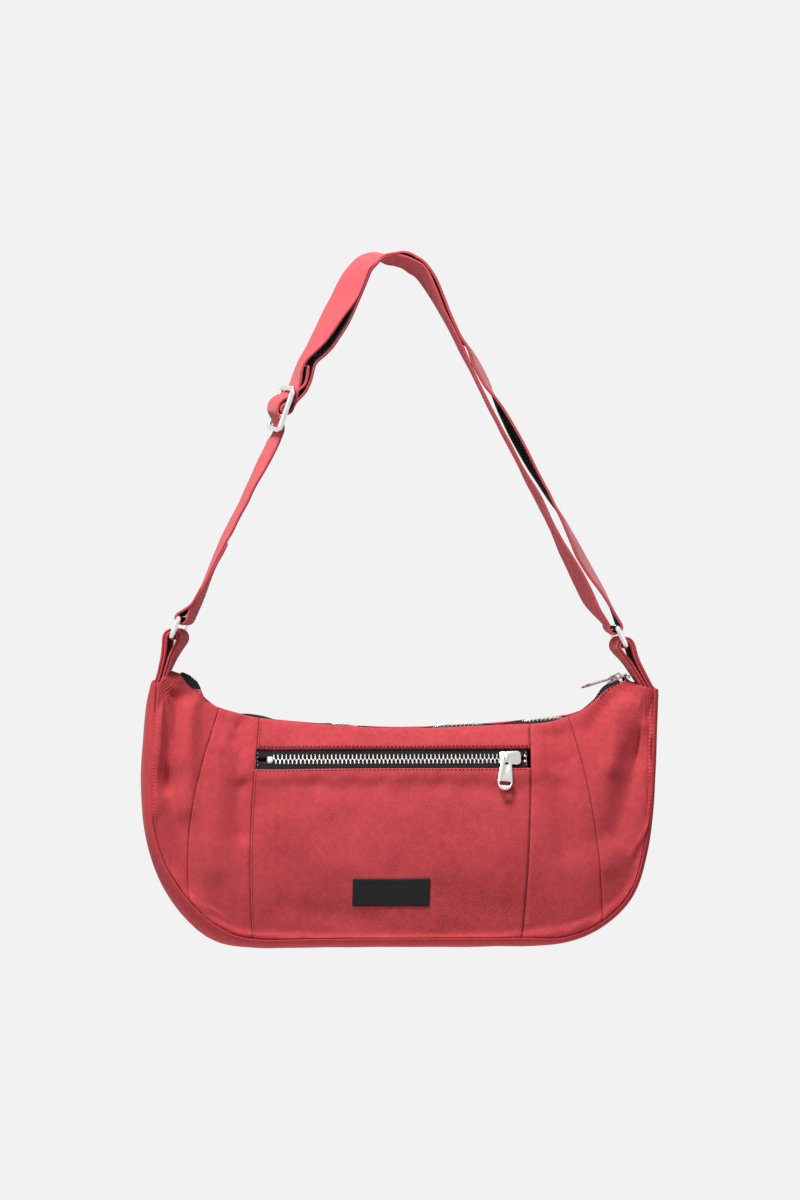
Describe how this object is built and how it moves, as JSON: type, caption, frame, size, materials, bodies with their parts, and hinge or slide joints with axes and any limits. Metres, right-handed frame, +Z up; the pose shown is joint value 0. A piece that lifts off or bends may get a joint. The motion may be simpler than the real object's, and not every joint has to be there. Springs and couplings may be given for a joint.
{
  "type": "trapeze bag",
  "caption": "Crescent shoulder bag of twill with a folded strap on rings and a slide adjuster, a curved top zip and a zipped front pocket.",
  "frame": {"origin": "underside of the strap crown, where the bag hangs", "axes": "+Z up, +X to the right seen from the front, -Y towards the front face with the pocket"},
  "size_m": [0.3735, 0.0962, 0.5086],
  "materials": {
    "strap": "cotton twill, folded and topstitched",
    "tab": "cotton twill, folded, raw edges inside",
    "panel": "washed cotton twill",
    "gusset": "washed cotton twill",
    "binding": "woven tape",
    "label": "bare woven patch",
    "pouch": "thin cotton",
    "zip_tape": "woven zip tape",
    "zip_metal": "polished nickel",
    "hardware": "nickel-plated wire"
  },
  "bodies": {
    "strap": {"strap_lower_run": "strap", "strap_outer_run": "strap", "strap_inner_run": "strap", "tab_left": "tab", "tab_right": "tab"},
    "left_ring": {"ring_left": "hardware"},
    "right_ring": {"ring_right": "hardware"},
    "adjuster": {"adjuster_slide": "hardware"},
    "bag": {"front_left_end": "panel", "front_left_side": "panel", "front_centre_top": "panel", "front_centre_bottom": "panel", "front_right_side": "panel", "front_right_end": "panel", "back_left_end": "panel", "back_left_side": "panel", "back_centre": "panel", "back_right_side": "panel", "back_right_end": "panel", "gusset": "gusset", "binding_front": "binding", "binding_back": "binding", "label_patch": "label", "pocket_pouch": "pouch", "pocket_tape_upper": "zip_tape", "pocket_tape_lower": "zip_tape", "pocket_teeth_upper": "zip_metal", "pocket_teeth_lower": "zip_metal", "pocket_stop_left": "zip_metal", "pocket_stops_right": "zip_metal", "top_tape_front": "zip_tape", "top_tape_back": "zip_tape", "top_teeth_front": "zip_metal", "top_teeth_back": "zip_metal", "top_stop_left": "zip_metal", "top_stops_right": "zip_metal"},
    "pocket_slider": {"pocket_slider": "zip_metal"},
    "pocket_puller": {"pocket_puller": "zip_metal"},
    "top_slider": {"top_slider": "zip_metal"},
    "top_puller": {"top_puller": "zip_metal"}
  },
  "joints": [
    {"name": "bag_swing", "type": "hinge", "parent": "strap", "child": "bag", "pos_m": [-0.1736, 0, -0.307], "axis": [0.9997, 0, -0.0226], "range_deg": [-30, 30]},
    {"name": "left_ring_rock", "type": "hinge", "parent": "strap", "child": "left_ring", "pos_m": [-0.1608, 0, -0.2719], "axis": [0, 1, 0], "range_deg": [-8, 8]},
    {"name": "right_ring_rock", "type": "hinge", "parent": "strap", "child": "right_ring", "pos_m": [0.1596, 0, -0.2785], "axis": [0, 1, 0], "range_deg": [-8, 8]},
    {"name": "adjuster_travel", "type": "slide", "parent": "strap", "child": "adjuster", "axis": [-0.4337, 0, -0.9011], "range_m": [0, 0.06], "deforming": ["strap_lower_run", "strap_inner_run"]},
    {"name": "pocket_zip", "type": "slide", "parent": "bag", "child": "pocket_slider", "axis": [-1, 0, 0], "range_m": [0, 0.155], "deforming": ["pocket_teeth_upper", "pocket_teeth_lower"]},
    {"name": "pocket_puller_lift", "type": "hinge", "parent": "pocket_slider", "child": "pocket_puller", "pos_m": [0.0766, -0.0247, -0.36511], "axis": [-0.9962, 0.0411, 0.0769], "range_deg": [0, 150]},
    {"name": "top_zip", "type": "hinge", "parent": "bag", "child": "top_slider", "pos_m": [-0.0063, 0, 0.0548], "axis": [0, 1, 0], "range_deg": [0, 40], "deforming": ["top_teeth_front", "top_teeth_back", "top_tape_front", "top_tape_back"]},
    {"name": "top_puller_lift", "type": "hinge", "parent": "top_slider", "child": "top_puller", "pos_m": [0.15865, 0, -0.3084], "axis": [0, 1, 0], "range_deg": [0, 90]}
  ]
}
